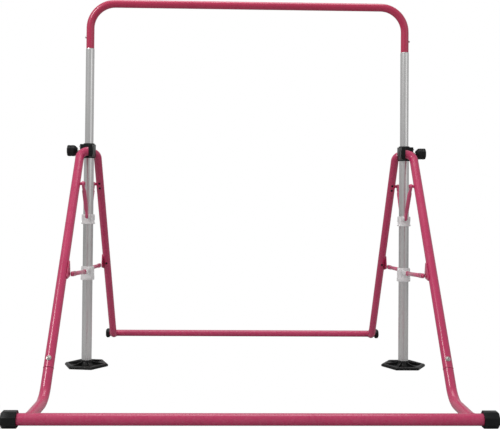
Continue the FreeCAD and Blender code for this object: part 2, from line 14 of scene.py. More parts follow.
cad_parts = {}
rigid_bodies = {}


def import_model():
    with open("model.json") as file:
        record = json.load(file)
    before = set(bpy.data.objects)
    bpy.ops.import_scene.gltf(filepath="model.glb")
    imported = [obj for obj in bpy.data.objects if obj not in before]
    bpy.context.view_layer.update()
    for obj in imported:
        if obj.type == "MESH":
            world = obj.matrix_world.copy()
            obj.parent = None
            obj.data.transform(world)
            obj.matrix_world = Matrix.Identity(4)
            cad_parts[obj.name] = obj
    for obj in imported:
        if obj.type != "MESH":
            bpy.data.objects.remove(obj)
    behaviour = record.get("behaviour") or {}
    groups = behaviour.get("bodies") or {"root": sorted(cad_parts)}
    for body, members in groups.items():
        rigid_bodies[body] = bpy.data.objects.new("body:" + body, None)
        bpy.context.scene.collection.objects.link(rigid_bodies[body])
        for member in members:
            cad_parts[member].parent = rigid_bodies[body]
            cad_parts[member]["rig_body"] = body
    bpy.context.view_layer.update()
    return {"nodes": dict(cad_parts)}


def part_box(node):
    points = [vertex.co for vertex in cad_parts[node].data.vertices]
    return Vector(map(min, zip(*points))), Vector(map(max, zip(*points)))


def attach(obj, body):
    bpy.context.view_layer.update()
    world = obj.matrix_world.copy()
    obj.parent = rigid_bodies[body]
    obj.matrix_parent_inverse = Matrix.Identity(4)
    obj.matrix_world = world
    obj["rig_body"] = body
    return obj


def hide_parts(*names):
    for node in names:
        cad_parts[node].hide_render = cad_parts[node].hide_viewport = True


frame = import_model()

LOG = logging.getLogger("kip_bar")
MM = 0.001
SIDES = (("right", 1), ("left", -1))
Ring = tuple[float, float]  # height and radius, or inner and outer radius


class Body(str, Enum):
    """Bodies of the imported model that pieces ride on."""

    STAND = "stand"
    FRONT = "front_frame"
    REAR = "rear_frame"


class Slot(str, Enum):
    """Material slots of the record, passed along with new pieces but not applied to them."""

    FRAME = "frame_paint"
    FASTENER = "fastener_steel"
    NYLON = "pale_nylon"
    PLASTIC = "black_plastic"


# ---------------------------------------------------------------- modelling by operators


def deselect() -> None:
    """Leaves object mode with nothing selected."""
    if bpy.context.object and bpy.context.object.mode != "OBJECT":
        bpy.ops.object.mode_set(mode="OBJECT")
    bpy.ops.object.select_all(action="DESELECT")


def activate(obj: bpy.types.Object) -> None:
    """Makes obj the only selected and the active object."""
    deselect()
    obj.select_set(True)
    bpy.context.view_layer.objects.active = obj


def edit(obj: bpy.types.Object) -> None:
    """Enters edit mode on obj with everything selected."""
    activate(obj)
    bpy.ops.object.mode_set(mode="EDIT")
    bpy.ops.mesh.select_all(action="SELECT")


def leave_edit() -> None:
    """Returns to object mode."""
    bpy.ops.object.mode_set(mode="OBJECT")


def pick(obj: bpy.types.Object, test: Callable[[Vector], bool]) -> None:
    """Selects, in edit mode, the faces whose centre passes a test.

    Args:
        obj: Mesh object in edit mode.
        test: Takes a face's centre and says whether to select it.
    """
    bpy.ops.mesh.select_all(action="DESELECT")
    bpy.ops.mesh.select_mode(type="FACE")
    mesh = bmesh.from_edit_mesh(obj.data)
    for face in mesh.faces:
        if test(face.calc_center_median()):
            face.select_set(True)
    bmesh.update_edit_mesh(obj.data)


def outward(obj: bpy.types.Object) -> bpy.types.Object:
    """Turns all faces of obj outwards."""
    edit(obj)
    bpy.ops.mesh.normals_make_consistent(inside=False)
    leave_edit()
    return obj


def settle(obj: bpy.types.Object) -> bpy.types.Object:
    """Moves obj's place, turn and scale into its mesh."""
    activate(obj)
    bpy.ops.object.transform_apply(location=True, rotation=True, scale=True)
    return obj


def smooth(obj: bpy.types.Object, angle: float) -> bpy.types.Object:
    """Shades obj smooth across edges under an angle in degrees."""
    activate(obj)
    bpy.ops.object.shade_smooth_by_angle(angle=math.radians(angle))
    return obj


def round_edges(
    obj: bpy.types.Object, width: float, segments: int = 2, angle: float = 32.0
) -> bpy.types.Object:
    """Rounds the sharp edges of obj and shades it smooth.

    Args:
        obj: Mesh object.
        width: Bevel width in metres.
        segments: Bevel segments.
        angle: Smallest edge angle that is rounded, in degrees.

    Returns:
        The same object.
    """
    activate(obj)
    bevel = obj.modifiers.new("round", "BEVEL")
    bevel.width = width
    bevel.segments = segments
    bevel.limit_method = "ANGLE"
    bevel.angle_limit = math.radians(angle)
    bevel.use_clamp_overlap = False
    bpy.ops.object.modifier_apply(modifier=bevel.name)
    return smooth(obj, angle)


def cut(obj: bpy.types.Object, tool: bpy.types.Object) -> bpy.types.Object:
    """Cuts tool out of obj and removes tool."""
    activate(obj)
    mod = obj.modifiers.new("cut", "BOOLEAN")
    mod.operation = "DIFFERENCE"
    mod.solver = "EXACT"
    mod.object = tool
    bpy.ops.object.modifier_apply(modifier=mod.name)
    bpy.data.objects.remove(tool)
    return obj


def turned(name: str, rings: Sequence[Ring], sides: int = 64) -> bpy.types.Object:
    """Piece turned about Z, drawn up ring by ring from a disc.

    Args:
        name: Name of the new object.
        rings: Height and radius of each ring, in millimetres.
        sides: Number of sides.

    Returns:
        A closed mesh object at the origin.
    """
    deselect()
    bpy.ops.mesh.primitive_circle_add(
        vertices=sides, radius=rings[0][1] * MM, fill_type="NGON", location=(0, 0, rings[0][0] * MM)
    )
    obj = settle(bpy.context.active_object)
    obj.name = name
    edit(obj)
    for (low, before), (high, after) in zip(rings, rings[1:]):
        step = (0, 0, (high - low) * MM)
        bpy.ops.mesh.extrude_region_move(TRANSFORM_OT_translate={"value": step})
        ratio = after / before
        bpy.ops.transform.resize(value=(ratio, ratio, 1), center_override=(0, 0, high * MM))
    leave_edit()
    return outward(obj)


def facet(obj: bpy.types.Object, count: int, beyond: float, turn: float) -> bpy.types.Object:
    """Flattens a turned piece into a regular prism outside a radius.

    Args:
        obj: Turned mesh about Z.
        count: Number of flats.
        beyond: Radius in millimetres from which the flats show.
        turn: Direction of the first corner, in degrees.

    Returns:
        The same object, whose corners keep the turned radius.
    """
    step = 2 * math.pi / count
    for vertex in obj.data.vertices:
        radius = math.hypot(vertex.co.x, vertex.co.y)
        if radius < beyond * MM:
            continue
        angle = (math.atan2(vertex.co.y, vertex.co.x) - math.radians(turn)) % step
        ratio = math.cos(step / 2) / math.cos(angle - step / 2)
        vertex.co.x *= ratio
        vertex.co.y *= ratio
    return obj


def hex_recess(obj: bpy.types.Object, inside: float, swell: float) -> None:
    """Makes the rings within a radius and above the XY plane hexagonal, as a key socket.

    Args:
        obj: Turned mesh about Z.
        inside: Radius in millimetres.
        swell: Factor that the hexagon is widened by.
    """
    half = math.pi / 6
    for vertex in obj.data.vertices:
        if math.hypot(vertex.co.x, vertex.co.y) < inside * MM and vertex.co.z > 0:
            angle = math.atan2(vertex.co.y, vertex.co.x) % (2 * half)
            ratio = swell * math.cos(half) / math.cos(angle - half)
            vertex.co.x *= ratio
            vertex.co.y *= ratio


def block(name: str, low: Vector, high: Vector, inset: float = 0.0) -> bpy.types.Object:
    """Rectangular boss, drawn in a little at its top when inset is given."""
    deselect()
    bpy.ops.mesh.primitive_cube_add(size=1, location=(low + high) / 2)
    obj = bpy.context.active_object
    obj.scale = high - low
    obj.name = name
    settle(obj)
    if inset:
        edit(obj)
        pick(obj, lambda centre: centre.z > high.z - 1e-6)
        ratio = 1 - inset
        bpy.ops.transform.resize(value=(ratio, ratio, 1), center_override=(low + high) / 2)
        leave_edit()
    return obj


def place(
    obj: bpy.types.Object, origin: Vector, direction: Vector, spin: float = 0.0
) -> bpy.types.Object:
    """Turns obj's Z to a direction and moves it, within its mesh."""
    turn = Vector((0, 0, 1)).rotation_difference(direction).to_matrix().to_4x4()
    own = Matrix.Rotation(math.radians(spin), 4, "Z")
    obj.data.transform(Matrix.Translation(origin) @ turn @ own)
    return obj


def copied(obj: bpy.types.Object, name: str) -> bpy.types.Object:
    """Copy of obj with a mesh of its own."""
    twin = bpy.data.objects.new(name, obj.data.copy())
    bpy.context.scene.collection.objects.link(twin)
    return twin


def mirrored(obj: bpy.types.Object, name: str) -> bpy.types.Object:
    """Mirror image of obj on the other side of the YZ plane."""
    twin = copied(obj, name)
    twin.data.transform(Matrix.Scale(-1, 4, Vector((1, 0, 0))))
    return outward(twin)


def joined(name: str, parts: Sequence[bpy.types.Object]) -> bpy.types.Object:
    """One object made of several, under a new name."""
    deselect()
    for part in parts:
        part.select_set(True)
    bpy.context.view_layer.objects.active = parts[0]
    bpy.ops.object.join()
    parts[0].name = name
    return parts[0]


def refined(node: str, width: float, segments: int = 2) -> bpy.types.Object:
    """Merged copy of a CAD node with its sharp edges rounded.

    Args:
        node: Name of the CAD node.
        width: Width of the rounding in millimetres.
        segments: Bevel segments.

    Returns:
        A new object, not yet riding on a body.
    """
    obj = bpy.data.objects.new(node + "_detail", frame["nodes"][node].data.copy())
    bpy.context.scene.collection.objects.link(obj)
    edit(obj)
    bpy.ops.mesh.remove_doubles(threshold=2e-6)
    bpy.ops.mesh.dissolve_limited(angle_limit=math.radians(0.4))
    leave_edit()
    return round_edges(obj, width * MM, segments, 40.0)


def body_of(node: str) -> str:
    """Name of the body that a CAD node rides on."""
    return str(frame["nodes"][node]["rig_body"])


def fit(
    obj: bpy.types.Object, body: Body | str, slot: Slot, finish: "Finish", *nodes: str
) -> None:
    """Dresses a finished piece and puts it on its body.

    Args:
        obj: The piece, with its place in its mesh.
        body: Body that it rides on.
        slot: Material slot of the record; not used.
        finish: Finish of its surface.
        nodes: CAD nodes that it replaces.
    """
    obj.data.materials.clear()
    obj.data.materials.append(finish.material())
    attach(obj, body.value if isinstance(body, Body) else body)
    if nodes:
        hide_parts(*nodes)


def fit_pair(obj: bpy.types.Object, body: Body | str, slot: Slot, finish: "Finish") -> None:
    """Dresses a right-hand piece that replaces no node, and its mirror image."""
    twin = mirrored(obj, obj.name.replace("right", "left"))
    fit(obj, body, slot, finish)
    fit(twin, body, slot, finish)


# ---------------------------------------------------------------- finishes


class Graph:
    """Short way to write a material's nodes."""

    def __init__(self, name: str) -> None:
        """Starts a material with a Principled shader."""
        self.made = bpy.data.materials.new(name)
        self.made.use_nodes = True
        self.tree = self.made.node_tree
        self.shader = self.tree.nodes["Principled BSDF"]
        self.place = self.node("ShaderNodeTexCoord").outputs["Object"]

    def node(self, kind: str, **values: object) -> bpy.types.Node:
        """Adds a node and sets its properties."""
        made = self.tree.nodes.new(kind)
        for key, value in values.items():
            setattr(made, key, value)
        return made

    def link(self, source: bpy.types.NodeSocket, target: bpy.types.NodeSocket) -> None:
        """Links two sockets."""
        self.tree.links.new(source, target)

    def scaled(self, scale: Sequence[float]) -> bpy.types.NodeSocket:
        """Object coordinates stretched by a scale."""
        mapping = self.node("ShaderNodeMapping")
        mapping.inputs["Scale"].default_value = scale
        self.link(self.place, mapping.inputs["Vector"])
        return mapping.outputs["Vector"]

    def noise(
        self, scale: float, detail: float = 2.0, where: bpy.types.NodeSocket | None = None
    ) -> bpy.types.NodeSocket:
        """Noise value on the object's coordinates or on a given vector."""
        made = self.node("ShaderNodeTexNoise")
        made.inputs["Scale"].default_value = scale
        made.inputs["Detail"].default_value = detail
        self.link(where or self.place, made.inputs["Vector"])
        return made.outputs["Fac"]

    def ranged(
        self, value: bpy.types.NodeSocket, low: float, high: float, start: float, end: float
    ) -> bpy.types.NodeSocket:
        """Maps low to high onto start to end, clamped."""
        made = self.node("ShaderNodeMapRange")
        limits = {"From Min": low, "From Max": high, "To Min": start, "To Max": end}
        for key, number in limits.items():
            made.inputs[key].default_value = number
        self.link(value, made.inputs["Value"])
        return made.outputs["Result"]

    def times(
        self, first: bpy.types.NodeSocket, second: bpy.types.NodeSocket
    ) -> bpy.types.NodeSocket:
        """Product of two values."""
        made = self.node("ShaderNodeMath", operation="MULTIPLY")
        self.link(first, made.inputs[0])
        self.link(second, made.inputs[1])
        return made.outputs[0]

    def mixed(
        self, amount: bpy.types.NodeSocket, first: object, second: Sequence[float]
    ) -> bpy.types.NodeSocket:
        """Colour between two colours; the first may be a socket."""
        made = self.node("ShaderNodeMix", data_type="RGBA")
        self.link(amount, made.inputs["Factor"])
        if isinstance(first, bpy.types.NodeSocket):
            self.link(first, made.inputs[6])
        else:
            made.inputs[6].default_value = (*first, 1)
        made.inputs[7].default_value = (*second, 1)
        return made.outputs[2]

    def height(self) -> bpy.types.NodeSocket:
        """Height above the floor."""
        split = self.node("ShaderNodeSeparateXYZ")
        self.link(self.place, split.inputs[0])
        return split.outputs["Z"]

    def bump(self, value: bpy.types.NodeSocket, strength: float, depth: float) -> None:
        """Adds relief; calls stack on each other."""
        made = self.node("ShaderNodeBump")
        made.inputs["Strength"].default_value = strength
        made.inputs["Distance"].default_value = depth
        self.link(value, made.inputs["Height"])
        normal = self.shader.inputs["Normal"]
        if normal.is_linked:
            self.link(normal.links[0].from_socket, made.inputs["Normal"])
        self.link(made.outputs["Normal"], normal)

    def set(self, **values: object) -> None:
        """Sets shader sockets; underscores stand for spaces."""
        for key, value in values.items():
            self.shader.inputs[key.replace("_", " ")].default_value = value


@dataclass(frozen=True)
class Finish:
    """A surface finish, built once under its name."""

    name: str
    color: tuple[float, float, float]

    def material(self) -> bpy.types.Material:
        """The finish's material."""
        known = bpy.data.materials.get(self.name)
        return known or self.build(Graph(self.name))

    def build(self, graph: Graph) -> bpy.types.Material:
        """Builds the nodes. Each finish has its own."""
        raise NotImplementedError


def shade(color: Sequence[float], ratio: float) -> tuple[float, ...]:
    """A colour made darker or lighter."""
    return tuple(min(1.0, part * ratio) for part in color)


@dataclass(frozen=True)
class PowderCoat(Finish):
    """Sprayed and baked paint with orange peel, soft mottling and dust low down."""

    peel: float = 0.16
    gloss: float = 0.25

    def build(self, graph: Graph) -> bpy.types.Material:
        """Builds the paint's nodes."""
        cloud = graph.ranged(graph.noise(9.0, 4.0), 0.35, 0.65, 0.0, 1.0)
        color = graph.mixed(cloud, shade(self.color, 0.96), shade(self.color, 1.04))
        scuff_lines = graph.noise(60.0, 6.0, graph.scaled((1.0, 1.0, 0.25)))
        scuff = graph.ranged(scuff_lines, 0.68, 0.76, 0.0, 0.10)
        color = graph.mixed(scuff, color, shade(self.color, 1.35))
        low = graph.ranged(graph.height(), 0.0, 0.16, 0.05, 0.0)
        dust = graph.times(low, graph.ranged(graph.noise(130.0, 5.0), 0.4, 0.7, 0.0, 1.0))
        color = graph.mixed(dust, color, (0.62, 0.58, 0.56))
        graph.link(color, graph.shader.inputs["Base Color"])
        rough = graph.ranged(graph.noise(23.0, 3.0), 0.3, 0.7, self.gloss - 0.05, self.gloss + 0.09)
        graph.link(rough, graph.shader.inputs["Roughness"])
        graph.bump(graph.noise(520.0, 1.0), self.peel, 0.0004)
        graph.bump(graph.noise(1900.0, 0.0), self.peel / 3, 0.0001)
        graph.set(Coat_Weight=0.40, Coat_Roughness=0.12, IOR=1.46)
        return graph.made


@dataclass(frozen=True)
class DrawnSteel(Finish):
    """Bright drawn tube with fine lines along it, handling smears and dark streaks along it that are
    painted reflection.
    """

    along: tuple[float, float, float] = (420.0, 420.0, 5.0)
    rough: float = 0.30

    def build(self, graph: Graph) -> bpy.types.Material:
        """Builds the steel's nodes."""
        lines = graph.noise(1.0, 3.0, graph.scaled(self.along))
        smear = graph.noise(7.0, 5.0)
        color = graph.mixed(graph.ranged(smear, 0.3, 0.7, 0, 1), shade(self.color, 0.93), self.color)
        # Dark streaks along the tube: painted reflection, mixed into the colour.
        reflection_streaks = graph.noise(1.0, 6.0, graph.scaled((160, 160, 2.2)))
        marks = graph.ranged(reflection_streaks, 0.6, 0.72, 0, 0.3)
        color = graph.mixed(marks, color, shade(self.color, 0.72))
        graph.link(color, graph.shader.inputs["Base Color"])
        rough = graph.ranged(lines, 0.3, 0.7, self.rough - 0.07, self.rough + 0.1)
        graph.link(rough, graph.shader.inputs["Roughness"])
        graph.bump(lines, 0.10, 0.0002)
        graph.set(Metallic=1.0, Anisotropic=0.35)
        return graph.made


@dataclass(frozen=True)
class MouldedPlastic(Finish):
    """Moulded plastic with a fine eroded grain and rubbed patches."""

    grain: float = 0.22
    rough: float = 0.33

    def build(self, graph: Graph) -> bpy.types.Material:
        """Builds the plastic's nodes."""
        patch = graph.ranged(graph.noise(38.0, 4.0), 0.4, 0.7, 0.0, 1.0)
        color = graph.mixed(patch, shade(self.color, 0.85), shade(self.color, 1.35))
        specks = graph.ranged(graph.noise(700.0, 2.0), 0.68, 0.76, 0.0, 0.25)
        color = graph.mixed(specks, color, (0.07, 0.07, 0.074))
        graph.link(color, graph.shader.inputs["Base Color"])
        rough = graph.ranged(patch, 0.0, 1.0, self.rough + 0.06, self.rough - 0.08)
        graph.link(rough, graph.shader.inputs["Roughness"])
        grain = graph.node("ShaderNodeTexVoronoi")
        grain.inputs["Scale"].default_value = 1500.0
        graph.link(graph.place, grain.inputs["Vector"])
        graph.bump(grain.outputs["Distance"], self.grain, 0.00012)
        graph.bump(graph.noise(90.0, 2.0), 0.08, 0.0006)
        graph.set(IOR=1.31)
        return graph.made


@dataclass(frozen=True)
class Nylon(Finish):
    """Milky nylon with flow marks and a waxy surface."""

    def build(self, graph: Graph) -> bpy.types.Material:
        """Builds the nylon's nodes."""
        flow = graph.ranged(graph.noise(22.0, 5.0, graph.scaled((1, 1, 2.5))), 0.35, 0.7, 0, 1)
        color = graph.mixed(flow, self.color, shade(self.color, 0.90))
        grime = graph.ranged(graph.noise(75.0, 6.0), 0.62, 0.75, 0.0, 0.35)
        color = graph.mixed(grime, color, (0.50, 0.45, 0.43))
        graph.link(color, graph.shader.inputs["Base Color"])
        rough = graph.ranged(flow, 0.0, 1.0, 0.34, 0.48)
        graph.link(rough, graph.shader.inputs["Roughness"])
        graph.bump(graph.noise(420.0, 2.0), 0.12, 0.0003)
        graph.set(Transmission_Weight=0.22, IOR=1.30)
        return graph.made


@dataclass(frozen=True)
class ZincPlate(Finish):
    """Plated fastener steel with turning marks and a faint yellow cast."""

    def build(self, graph: Graph) -> bpy.types.Material:
        """Builds the plating's nodes."""
        cast = graph.ranged(graph.noise(160.0, 4.0), 0.35, 0.7, 0.0, 1.0)
        color = graph.mixed(cast, self.color, (0.52, 0.50, 0.42))
        graph.link(color, graph.shader.inputs["Base Color"])
        rough = graph.ranged(graph.noise(900.0, 3.0), 0.3, 0.7, 0.24, 0.42)
        graph.link(rough, graph.shader.inputs["Roughness"])
        graph.bump(graph.noise(1.0, 2.0, graph.scaled((300, 2600, 2600))), 0.12, 0.0001)
        graph.set(Metallic=1.0)
        return graph.made


PAINT = PowderCoat("rose_powder_coat", (0.540, 0.034, 0.122))
# Lighter copy of the rose paint for the struts: painted highlight for the light falling on their tops,
# not a paint of its own.
LIT_STRUT_PAINT = PowderCoat("rose_strut_paint", (0.620, 0.082, 0.190))
# Darker copy of the rose paint for the U-bar: painted shade, the same paint as the rest of the frame.
SHADED_BAR_PAINT = PowderCoat("rose_bar_paint", (0.520, 0.026, 0.090), peel=0.12, gloss=0.26)
WELD_PAINT = PowderCoat("rose_weld_paint", (0.470, 0.032, 0.105), peel=0.45, gloss=0.36)
STEEL = DrawnSteel("bright_drawn_tube", (0.78, 0.775, 0.77))
PLASTIC = MouldedPlastic("black_moulding", (0.006, 0.0062, 0.0066))
GRIP = MouldedPlastic("black_grip", (0.007, 0.007, 0.0075), grain=0.4, rough=0.5)
# Near-black screws: painted shade standing for the dark cavity of the rear legs' brackets, not a
# blackened finish.
SHADE_DARK_SCREW = MouldedPlastic("blackened_screw", (0.010, 0.006, 0.008), grain=0.1, rough=0.45)
NYLON = Nylon("milky_nylon", (0.97, 0.95, 0.955))
ZINC = ZincPlate("zinc_plate", (0.50, 0.50, 0.51))


# ---------------------------------------------------------------- the stand's pieces


@dataclass
class Layout:
    """Reference places and sizes on the +X side, in metres.

    Plates and studs are given by their distance down the leg from its pivot.
    """

    post: Vector = field(init=False)
    front_tube: tuple[Vector, Vector] = field(init=False)
    rear_tube: tuple[Vector, Vector] = field(init=False)
    pivot_height: float = 0.757
    pivot_back: float = 0.0375
    front_angle: float = math.radians(35.4)
    rear_angle: float = math.radians(32.2)
    front_out: float = 0.023
    rear_out: float = -0.023
    front_radius: float = 0.015
    rear_radius: float = 0.014
    front_plate: float = 0.475
    rear_plate: float = 0.49017
    front_stud: float = 0.140

    def __post_init__(self) -> None:
        """Reads the post and the floor tubes."""
        low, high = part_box("post_right")
        self.post = Vector(((low.x + high.x) / 2, (low.y + high.y) / 2, 0))
        self.front_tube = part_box("front_floor_tube")
        self.rear_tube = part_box("rear_floor_tube")

    def leg(self, front: bool, along: float, off: float = 0.0) -> Vector:
        """Point beside a leg: along it from the pivot, off it towards the post."""
        angle = self.front_angle if front else self.rear_angle
        side = -1 if front else 1
        out = self.front_out if front else self.rear_out
        back = side * (self.pivot_back + along * math.sin(angle) - off * math.cos(angle))
        height = self.pivot_height - along * math.cos(angle) - off * math.sin(angle)
        return Vector((self.post.x + out, self.post.y + back, height))

    def down(self, front: bool) -> Vector:
        """Unit vector down a leg."""
        return (self.leg(front, 1.0) - self.leg(front, 0.0)).normalized()


@dataclass
class EndCaps:
    """Eight-sided push-on caps at the ends of a floor tube, sizes in millimetres."""

    prefix: str
    body: Body
    flats: float
    length: float
    bore: float
    corner: float = 1.4

    def build(self) -> None:
        """Builds the right cap and its mirror image."""
        low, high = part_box(self.prefix + "_right")
        radius = self.flats / 2 / math.cos(math.pi / 8)
        length = self.length
        wall = radius - 0.4
        rings = [
            (length - 4.0, self.bore), (0.0, self.bore), (0.0, wall - 1.2), (0.9, wall),
            (1.6, radius), (length - 4.2, radius), (length - 0.9, radius - 3.6),
            (length, radius - 5.0), (length, radius * 0.62), (length - 1.3, radius * 0.58),
            (length - 1.3, radius * 0.2), (length - 0.5, radius * 0.15), (length - 0.5, radius * 0.05),
        ]
        cap = facet(turned(self.prefix, rings, 96), 8, self.bore + 1.5, 22.5)
        round_edges(cap, self.corner * MM / 2, 2, 30.0)
        centre = Vector((low.x, (low.y + high.y) / 2, (low.z + high.z) / 2))
        cap.data.transform(Matrix.Rotation(math.radians(90), 4, "Y"))
        cap.data.transform(Matrix.Translation(centre))
        cap.name = self.prefix + "_moulding_right"
        twin = mirrored(cap, self.prefix + "_moulding_left")
        fit(cap, self.body, Slot.PLASTIC, PLASTIC, self.prefix + "_right")
        fit(twin, self.body, Slot.PLASTIC, PLASTIC, self.prefix + "_left")


@dataclass
class FootPlates:
    """Six-sided plates that turn under the posts, sizes in millimetres."""

    corner: float = 79.0
    height: float = 10.0
    neck: float = 17.5
    neck_top: float = 21.7
    spigot: float = 15.4
    ribs: int = 6
    rib_width: float = 3.2
    rib_rise: float = 18.0

    def plate(self, side: str, turn: float) -> bpy.types.Object:
        """Builds one plate with its ribs about the origin.

        Args:
            side: Name of the side.
            turn: Direction of a corner, in degrees.

        Returns:
            The plate at the origin.
        """
        wide = self.corner
        rings = [
            (0.0, wide - 9.0), (0.0, wide - 1.6), (1.2, wide), (6.6, wide), (self.height, wide - 4.4),
            (self.height, wide - 13.0), (7.4, wide - 15.0), (7.0, 34.0), (8.2, 27.0), (11.5, 22.0),
            (16.5, 19.0), (19.4, 18.6), (20.6, 18.2), (self.neck_top, self.neck),
            (self.neck_top, self.spigot), (70.0, self.spigot), (72.0, self.spigot - 1.6),
        ]
        plate = facet(turned("foot", rings, 96), 6, 40.0, turn)
        round_edges(plate, 0.8 * MM, 2, 30.0)
        parts = [plate]
        for index in range(self.ribs):
            low = Vector((self.neck - 0.5, -self.rib_width / 2, 5.0)) * MM
            high = Vector((wide - 13.0, self.rib_width / 2, self.height - 0.2)) * MM
            rib = block("rib", low, high)
            edit(rib)
            mesh = bmesh.from_edit_mesh(rib.data)
            for vertex in mesh.verts:
                if vertex.co.x < (low.x + high.x) / 2 and vertex.co.z > (low.z + high.z) / 2:
                    vertex.co.z = self.rib_rise * MM
            bmesh.update_edit_mesh(rib.data)
            leave_edit()
            round_edges(rib, 0.6 * MM)
            angle = math.radians(turn) + index * 2 * math.pi / self.ribs
            rib.data.transform(Matrix.Rotation(angle, 4, "Z"))
            parts.append(rib)
        return joined("foot_moulding_" + side, parts)

    def build(self, layout: Layout) -> None:
        """Builds both plates at the turns they rest at."""
        for (side, sign), turn in zip(SIDES, (0.0, 52.0)):
            plate = self.plate(side, turn)
            plate.data.transform(Matrix.Translation((sign * layout.post.x, layout.post.y, 0)))
            fit(plate, "foot_" + side, Slot.PLASTIC, PLASTIC, "foot_plate_" + side)


@dataclass
class HeadBlocks:
    """Moulded heads on the posts, with guide rings and screws, sizes in millimetres."""

    ring_height: float = 3.2
    screw_radius: float = 3.6
    screw_spread: float = 14.0
    screw_heights: tuple[float, float] = (8.0, 38.0)
    cap_radius: float = 16.4
    plug_radius: float = 14.8
    top_ring: Ring = (15.15, 19.5)
    foot_ring: Ring = (17.6, 21.5)

    def guide_ring(self, name: str, radii: Ring) -> bpy.types.Object:
        """Chamfered ring around a tube, about the origin."""
        tall = self.ring_height
        bore, outer = radii
        rings = [
            (0.0, outer), (tall - 1.0, outer), (tall - 0.2, outer - 0.7), (tall, outer - 1.4),
            (tall, bore), (0.0, bore),
        ]
        ring = turned(name, rings, 64)
        edit(ring)
        pick(ring, lambda centre: centre.length < 1e-4)
        bpy.ops.mesh.delete(type="ONLY_FACE")
        bpy.ops.mesh.select_all(action="SELECT")
        bpy.ops.mesh.remove_doubles(threshold=1e-6)
        leave_edit()
        return smooth(ring, 30.0)

    def pivot_cap(self) -> bpy.types.Object:
        """Pressed-in cap over a leg's pivot, standing on the XY plane."""
        wide, plug = self.cap_radius, self.plug_radius
        rings = [
            (-1.5, plug), (0.0, plug), (0.0, wide), (0.7, wide), (1.3, wide - 0.9),
            (1.3, wide - 4.0), (0.8, wide - 4.6), (0.8, 2.0),
        ]
        return round_edges(turned("pivot_cap_right", rings), 0.2 * MM, 1, 35.0)

    def cap_screw(self) -> bpy.types.Object:
        """Socket-head screw standing on the XY plane."""
        head = self.screw_radius
        rings = [(-1.0, head), (2.0, head), (2.6, head - 0.5), (2.6, head * 0.5), (1.0, head * 0.5)]
        screw = turned("cap_screw", rings, 48)
        hex_recess(screw, head * 0.6, 1.1)
        return round_edges(screw, 0.15 * MM, 1, 35.0)

    def build(self, layout: Layout) -> None:
        """Builds both heads, their rings and their screws."""
        low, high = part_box("head_block_right")
        for side, _ in SIDES:
            node = "head_block_" + side
            head = refined(node, 1.1, 3)
            head.name = "head_moulding_" + side
            fit(head, Body.STAND, Slot.PLASTIC, PLASTIC, node)
        top = self.guide_ring("top_ring_right", self.top_ring)
        top.data.transform(Matrix.Translation((layout.post.x, layout.post.y, high.z)))
        foot = self.guide_ring("foot_ring_right", self.foot_ring)
        foot.data.transform(Matrix.Rotation(math.pi, 4, "X"))
        foot.data.transform(Matrix.Translation((layout.post.x, layout.post.y, low.z)))
        for ring in (top, foot):
            fit_pair(outward(ring), Body.STAND, Slot.PLASTIC, PLASTIC)
        cap = self.pivot_cap()
        cap.data.transform(Matrix.Rotation(math.radians(-90), 4, "Y"))
        inner = Vector((low.x, layout.post.y - layout.pivot_back, layout.pivot_height))
        cap.data.transform(Matrix.Translation(inner))
        fit_pair(outward(cap), Body.STAND, Slot.PLASTIC, PLASTIC)
        screws = []
        for back in (-self.screw_spread, self.screw_spread):
            for height in self.screw_heights:
                screw = self.cap_screw()
                where = Vector((high.x, layout.post.y + back * MM, low.z + height * MM))
                screws.append(place(screw, where, Vector((1, 0, 0)), back))
        fit_pair(joined("head_screws_right", screws), Body.STAND, Slot.FASTENER, ZINC)


@dataclass
class LockKnobs:
    """Eight-sided pull knobs on the lock pins, sizes in millimetres."""

    radius: float = 21.0
    length: float = 35.0

    def build(self, layout: Layout) -> None:
        """Builds the right knob and its mirror image."""
        low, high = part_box("lock_knob_right")
        wide, long = self.radius, self.length
        rings = [
            (0.0, 5.0), (0.0, 10.8), (0.9, 11.8), (8.0, wide - 2.4), (9.6, wide - 0.8), (11.0, wide),
            (21.0, wide), (21.8, wide - 1.1), (23.4, wide - 1.1), (24.2, wide), (31.8, wide),
            (34.0, wide - 1.8), (long, wide - 4.2), (long, 11.0), (33.6, 9.6), (33.2, 4.0),
            (33.8, 2.6), (33.8, 0.8),
        ]
        knob = facet(turned("lock_grip_right", rings, 96), 8, 13.0, 22.5)
        round_edges(knob, 0.9 * MM, 3, 25.0)
        knob.data.transform(Matrix.Rotation(math.radians(90), 4, "Y"))
        centre = Vector((low.x, (low.y + high.y) / 2, (low.z + high.z) / 2))
        knob.data.transform(Matrix.Translation(centre))
        twin = mirrored(knob, "lock_grip_left")
        fit(knob, "lock_right", Slot.PLASTIC, GRIP, "lock_knob_right")
        fit(twin, "lock_left", Slot.PLASTIC, GRIP, "lock_knob_left")


